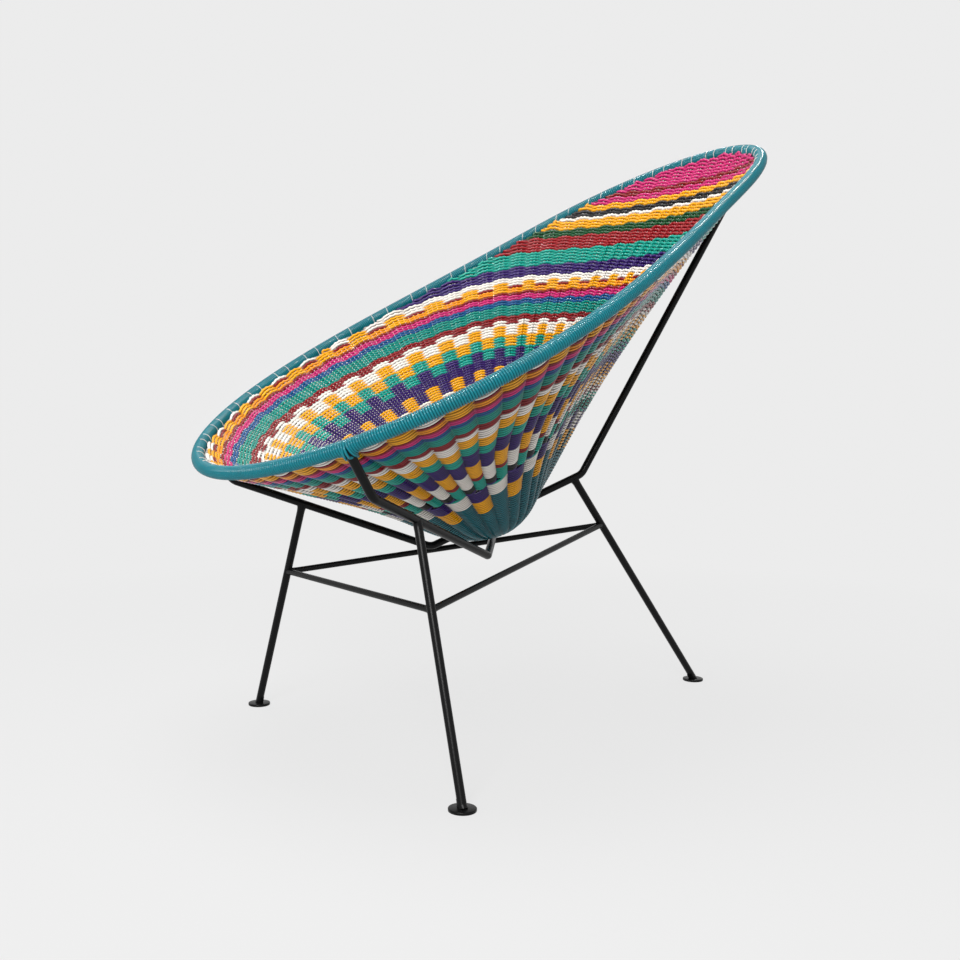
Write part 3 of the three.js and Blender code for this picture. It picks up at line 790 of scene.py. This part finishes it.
def wrapRing():
    fine = np.linspace(0, fullTurn, wrapSpec["ringSteps"] + 1)
    length = np.concatenate([[0], np.cumsum(np.linalg.norm(np.diff(ringPoints(fine), axis=0), axis=1))])
    whole = length[-1]

    def lengthTo(angle):
        turns = angle // fullTurn
        return turns * whole + np.interp(angle - turns * fullTurn, fine, length)

    # Where each rod meets the ring, and the two corners of its centre line nearest to there
    left, rear, right = ringSpec["frontRod"], ringSpec["rearRod"], fullTurn - ringSpec["frontRod"]
    leftLine, rightLine = rodSpec["cradle_rod_left"]["centre"], rodSpec["cradle_rod_right_rear"]["centre"]
    joints = [(left, leftLine[0], leftLine[1]), (rear, rightLine[-1], rightLine[-2]),
              (right, rightLine[0], rightLine[1])]
    runs = [("left", left, rear), ("right", rear, right), ("front", right, left + fullTurn)]
    for side, start, end in runs:
        s0, s1 = lengthTo(start), lengthTo(end)
        count = round((s1 - s0) / ringSpec["pitch"]) * wrapSpec["perTurn"]
        s = np.linspace(s0, s1, count + 1)
        phi = np.interp(np.mod(s, whole), length, fine)
        ahead = unit(ringPoints(phi + wrapSpec["aheadBy"]) - ringPoints(phi - wrapSpec["aheadBy"]))
        u = squareTo(outAtRing(phi), ahead)
        v = np.cross(ahead, u)
        turn = np.arange(count + 1) / wrapSpec["perTurn"] * fullTurn
        around = np.cos(turn)[:, None] * u + np.sin(turn)[:, None] * v
        points = ringPoints(phi) + around * (ringSpec["rod"] + ringSpec["cord"])
        for joint, top, below in joints:
            down = unit(np.subtract(below, top))
            fromRod = s - lengthTo(joint)
            fromRod -= np.round(fromRod / whole) * whole
            slide = wrapSpec["slide"] * np.exp(-(fromRod / wrapSpec["spread"]) ** 2)
            points += down * (slide * np.clip(around @ down, 0, 1) ** 2)[:, None]
        path = (clearOfRods(points, ringSpec["cord"]), around, False, np.ones(count + 1), ringSpec["cord"])
        dress(sweepCords("rim_cord_" + side, [path], wrapSpec["sides"], wrapSpec["withPaintedShade"]), "teal",
              "rim_wrap_" + side)
    print("ring wrapped")


# Steel rods: centre lines in metres, bent at each inner point to these radii in millimetres
rodRadius, stretcherRadius = 5.8 * mm, 4.4 * mm
rodSpec = {
    "cradle_rod_left": {
        "centre": [(0.209769, -0.380678, 0.429234), (0.203869, -0.344378, 0.372234),
                   (0.0677, -0.071857, 0.269036), (-0.027, 0.009243, 0.279036), (-0.048788, 0.018912, 0.306)],
        "bends": (20, 13, 13), "radius": rodRadius,
    },
    "cradle_rod_right_rear": {
        "centre": [(-0.209769, -0.380678, 0.429234), (-0.194369, -0.344378, 0.372234),
                   (-0.082, -0.067557, 0.266237), (0.0054, 0.159993, 0.3748), (0.100292, 0.419463, 0.871881)],
        "bends": (20, 20, 20), "radius": rodRadius,
    },
    "leg_front_left": {
        "centre": [(0.2823, -0.269907, 0.0052), (0.157572, -0.251721, 0.337147)], "radius": rodRadius,
    },
    "leg_front_right": {
        "centre": [(-0.2823, -0.269907, 0.0052), (-0.156164, -0.250259, 0.336195)], "radius": rodRadius,
    },
    "leg_rear": {
        "centre": [(0.000593, 0.439093, 0.0052), (0.000593, 0.147478, 0.368829)], "radius": rodRadius,
    },
}
# Stretchers run between points on the legs
stretcherJoints = {
    "leg_front_left": (0.19736, -0.257522, 0.229597),
    "leg_front_right": (-0.196401, -0.256527, 0.228949),
    "leg_rear": (0.000593, 0.209009, 0.291006),
}
stretcherLegs = {
    "stretcher_front": ("leg_front_left", "leg_front_right"),
    "stretcher_left": ("leg_front_left", "leg_rear"),
    "stretcher_right": ("leg_front_right", "leg_rear"),
}
for name, legs in stretcherLegs.items():
    rodSpec[name] = {"centre": [stretcherJoints[leg] for leg in legs], "radius": stretcherRadius}
bendSteps = 9


def bentLine(corners, radii):
    corners = [np.array(c) for c in corners]
    path = [corners[0]]
    for before, corner, after, radius in zip(corners, corners[1:], corners[2:], radii):
        into, onto = unit(corner - before), unit(after - corner)
        turn = math.acos(np.clip(into @ onto, -1, 1))
        start = corner - into * radius * mm * math.tan(turn / 2)
        towards = unit(onto - into * (onto @ into))
        for k in range(bendSteps + 1):
            angle = turn * k / bendSteps
            path.append(start + radius * mm * (into * math.sin(angle) + towards * (1 - math.cos(angle))))
    return np.array(path + [corners[-1]])


for spec in rodSpec.values():
    spec["line"] = bentLine(spec["centre"], spec.get("bends", ()))
rodRuns = [(spec["line"], spec["radius"]) for spec in rodSpec.values()]
rodFinish = {"resolution": 10, "smoothTo": math.radians(40)}


def paintSteel(piece, *nodes):
    piece.data.materials.clear()
    piece.data.materials.append(steel)
    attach(piece, "root")
    if nodes:
        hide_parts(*nodes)


# Each rod is a bevelled curve made into a mesh
def addRod(name, spec):
    curve = bpy.data.curves.new("round_" + name, "CURVE")
    curve.dimensions = "3D"
    curve.bevel_depth = spec["radius"]
    curve.bevel_resolution = rodFinish["resolution"]
    curve.use_fill_caps = True
    spline = curve.splines.new("POLY")
    spline.points.add(len(spec["line"]) - 1)
    for point, place in zip(spline.points, spec["line"]):
        point.co = (*place, 1)
    rod = bpy.data.objects.new("round_" + name, curve)
    scene.collection.objects.link(rod)
    bpy.ops.object.select_all(action="DESELECT")
    rod.select_set(True)
    bpy.context.view_layer.objects.active = rod
    bpy.ops.object.convert(target="MESH")
    rod = bpy.context.object
    bpy.ops.object.shade_smooth_by_angle(angle=rodFinish["smoothTo"])
    paintSteel(rod, name)


# Weld metal between a rod's end and the rod that carries it: a ring drawn up along the end and drawn in.
# It flares more along the carrying rod than across it.
weldSpec = {
    "reach": 12 * mm,
    "corners": 28,
    "steps": 6,
    "flareAlong": 0.75,
    "flareAcross": 0.06,
    "flareFall": 2.2,
    "overlap": 0.12 * mm,
    "intoFoot": 1 * mm,
    "legFlare": 1.0,
    "footFlare": 0.5,
    "stretcherFlare": 0.8,
}


def addWeld(name, joint, end, along, radius, flare):
    joint, end = Vector(joint), Vector(end)
    up = (end - joint).normalized()
    side = (Vector(along) - up * up.dot(Vector(along))).normalized()
    across = up.cross(side)
    turn = Matrix((side, across, up)).transposed().to_4x4()
    bpy.ops.object.select_all(action="DESELECT")
    bpy.ops.mesh.primitive_circle_add(vertices=weldSpec["corners"], radius=radius + weldSpec["overlap"],
                                      location=(0, 0, 0))
    weld = bpy.context.object
    weld.name = name
    bpy.ops.object.mode_set(mode="EDIT")
    bpy.ops.mesh.select_all(action="SELECT")
    rise = (0, 0, weldSpec["reach"] / weldSpec["steps"])
    for _ in range(weldSpec["steps"]):
        bpy.ops.mesh.extrude_region_move(TRANSFORM_OT_translate={"value": rise})
    bpy.ops.object.mode_set(mode="OBJECT")
    for vertex in weld.data.vertices:
        left = max(0, 1 - vertex.co.z / weldSpec["reach"]) ** weldSpec["flareFall"]
        vertex.co.x *= 1 + flare * weldSpec["flareAlong"] * left
        vertex.co.y *= 1 + flare * weldSpec["flareAcross"] * left
    weld.data.transform(Matrix.Translation(joint) @ turn)
    bpy.ops.object.mode_set(mode="EDIT")
    bpy.ops.mesh.select_all(action="SELECT")
    bpy.ops.mesh.normals_make_consistent(inside=False)
    bpy.ops.object.mode_set(mode="OBJECT")
    bpy.ops.object.shade_smooth()
    paintSteel(weld)


# Round feet: a flat disc with a rounded edge, welded round the leg
footSpec = {
    "radius": 17.5 * mm,
    "thick": 4 * mm,
    "corners": 64,
    "edge": 0.9 * mm,
    "edgeSteps": 3,
    "smoothTo": math.radians(35),
}


def addFoot(name, legName):
    x, y, _ = rodSpec[legName]["centre"][0]
    bpy.ops.object.select_all(action="DESELECT")
    bpy.ops.mesh.primitive_cylinder_add(vertices=footSpec["corners"], radius=footSpec["radius"],
                                        depth=footSpec["thick"], location=(x, y, footSpec["thick"] / 2))
    foot = bpy.context.object
    foot.name = "disc_" + name
    bpy.ops.object.transform_apply(location=True, rotation=False, scale=False)
    edge = foot.modifiers.new("edge", "BEVEL")
    edge.width = footSpec["edge"]
    edge.segments = footSpec["edgeSteps"]
    edge.limit_method = "ANGLE"
    bpy.ops.object.modifier_apply(modifier="edge")
    bpy.ops.object.shade_smooth_by_angle(angle=footSpec["smoothTo"])
    paintSteel(foot, name)


def buildFrame():
    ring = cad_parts["rim_ring"]
    ring.data.materials.clear()
    ring.data.materials.append(steel)
    for name, spec in rodSpec.items():
        addRod(name, spec)
    left, right = rodSpec["cradle_rod_left"]["centre"], rodSpec["cradle_rod_right_rear"]["centre"]
    carried = {
        "leg_front_left": (left[1], left[2]),
        "leg_front_right": (right[1], right[2]),
        "leg_rear": (right[2], right[3]),
    }
    for name, (a, b) in carried.items():
        foot, top = rodSpec[name]["centre"]
        onFoot = (foot[0], foot[1], footSpec["thick"] - weldSpec["intoFoot"])
        addWeld("weld_" + name, top, foot, np.subtract(b, a), rodRadius, weldSpec["legFlare"])
        addWeld("weld_foot_" + name, onFoot, top, (1, 0, 0), rodRadius, weldSpec["footFlare"])
        addFoot(name.replace("leg", "foot"), name)
    for name, legs in stretcherLegs.items():
        start, end = rodSpec[name]["centre"]
        for joint, other, leg in ((start, end, legs[0]), (end, start, legs[1])):
            foot, top = rodSpec[leg]["centre"]
            addWeld(f"weld_{name}_{leg}", joint, other, np.subtract(top, foot), stretcherRadius,
                    weldSpec["stretcherFlare"])
    print("frame built")


buildFrame()
weaveSeat()
warpSeat()
wrapRing()


# Studio: pale floor that runs into the backdrop, even soft light
studioSpec = {
    "backdrop": 0.838,
    "roomLight": 0.5,
    "floor": 0.66,
    "floorSize": 30,
    "floorGlow": (0.86, 1.0),
    "fade": (0.6, 1.8),
}


# 1 where the camera, a gloss or a clear material looks, and 0 where light is gathered
def addSeen(tree):
    rays = tree.nodes.new("ShaderNodeLightPath")
    seen = tree.nodes.new("ShaderNodeMath")
    seen.operation = "MAXIMUM"
    seenToo = tree.nodes.new("ShaderNodeMath")
    seenToo.operation = "MAXIMUM"
    tree.links.new(rays.outputs["Is Camera Ray"], seen.inputs[0])
    tree.links.new(rays.outputs["Is Glossy Ray"], seen.inputs[1])
    tree.links.new(seen.outputs[0], seenToo.inputs[0])
    tree.links.new(rays.outputs["Is Transmission Ray"], seenToo.inputs[1])
    return seenToo.outputs[0]


def addMixer(tree, share, first, second, output):
    mixer = tree.nodes.new("ShaderNodeMixShader")
    tree.links.new(share, mixer.inputs["Fac"])
    tree.links.new(first.outputs[0], mixer.inputs[1])
    tree.links.new(second.outputs[0], mixer.inputs[2])
    tree.links.new(mixer.outputs[0], output.inputs["Surface"])


def addStage():
    bpy.ops.object.select_all(action="DESELECT")
    bpy.ops.mesh.primitive_plane_add(size=studioSpec["floorSize"], location=(0, 0, 0))
    floor = bpy.context.object
    floor.name = "floor"
    material = bpy.data.materials.new("paleFloor")
    material.use_nodes = True
    tree = material.node_tree
    tree.nodes.clear()
    output = tree.nodes.new("ShaderNodeOutputMaterial")
    diffuse = tree.nodes.new("ShaderNodeBsdfDiffuse")
    diffuse.inputs["Color"].default_value = [studioSpec["floor"]] * 3 + [1]
    glow = tree.nodes.new("ShaderNodeEmission")
    glow.inputs["Color"].default_value = [studioSpec["backdrop"]] * 3 + [1]
    where = tree.nodes.new("ShaderNodeTexCoord")
    away = tree.nodes.new("ShaderNodeVectorMath")
    away.operation = "LENGTH"
    fade = tree.nodes.new("ShaderNodeMapRange")
    fade.inputs["From Min"].default_value, fade.inputs["From Max"].default_value = studioSpec["fade"]
    fade.inputs["To Min"].default_value, fade.inputs["To Max"].default_value = studioSpec["floorGlow"]
    share = tree.nodes.new("ShaderNodeMath")
    share.operation = "MULTIPLY"
    tree.links.new(where.outputs["Object"], away.inputs[0])
    tree.links.new(away.outputs["Value"], fade.inputs["Value"])
    tree.links.new(addSeen(tree), share.inputs[0])
    tree.links.new(fade.outputs["Result"], share.inputs[1])
    addMixer(tree, share.outputs[0], diffuse, glow, output)
    floor.data.materials.append(material)


def addWorld():
    world = bpy.data.worlds.new("studio")
    scene.world = world
    world.use_nodes = True
    tree = world.node_tree
    tree.nodes.clear()
    output = tree.nodes.new("ShaderNodeOutputWorld")
    room = tree.nodes.new("ShaderNodeBackground")
    room.inputs["Color"].default_value = (1, 1, 1, 1)
    room.inputs["Strength"].default_value = studioSpec["roomLight"]
    backdrop = tree.nodes.new("ShaderNodeBackground")
    backdrop.inputs["Color"].default_value = [studioSpec["backdrop"]] * 3 + [1]
    addMixer(tree, addSeen(tree), room, backdrop, output)


# Lamps that are gloss only add glints on the cords and light no colour
lampSpec = {
    "key": {"place": (1.9, -2.1, 1.7), "aim": (0, 0, 0.45), "size": 1.3, "power": 92},
    "top": {"place": (-0.3, -0.2, 2.8), "aim": (0, 0, 0.4), "size": 1.6, "power": 42},
    "sparkle": {"place": (0.1, 1.1, 2.7), "aim": (0, 0, 0.5), "size": 0.28, "power": 56, "glossOnly": True},
    "glint": {"place": (0.2, -1.7, 2.5), "aim": (0, 0, 0.5), "size": 0.3, "power": 24, "glossOnly": True},
}


def addLamps():
    for name, spec in lampSpec.items():
        data = bpy.data.lights.new(name, "AREA")
        data.shape = "SQUARE"
        data.size = spec["size"]
        data.energy = spec["power"]
        lamp = bpy.data.objects.new(name, data)
        scene.collection.objects.link(lamp)
        lamp.visible_diffuse = not spec.get("glossOnly")
        lamp.location = spec["place"]
        aim = Vector(spec["aim"]) - Vector(spec["place"])
        lamp.rotation_euler = aim.to_track_quat("-Z", "Y").to_euler()


addStage()
addWorld()
addLamps()
scene.view_settings.view_transform = "Standard"
print("stage set")
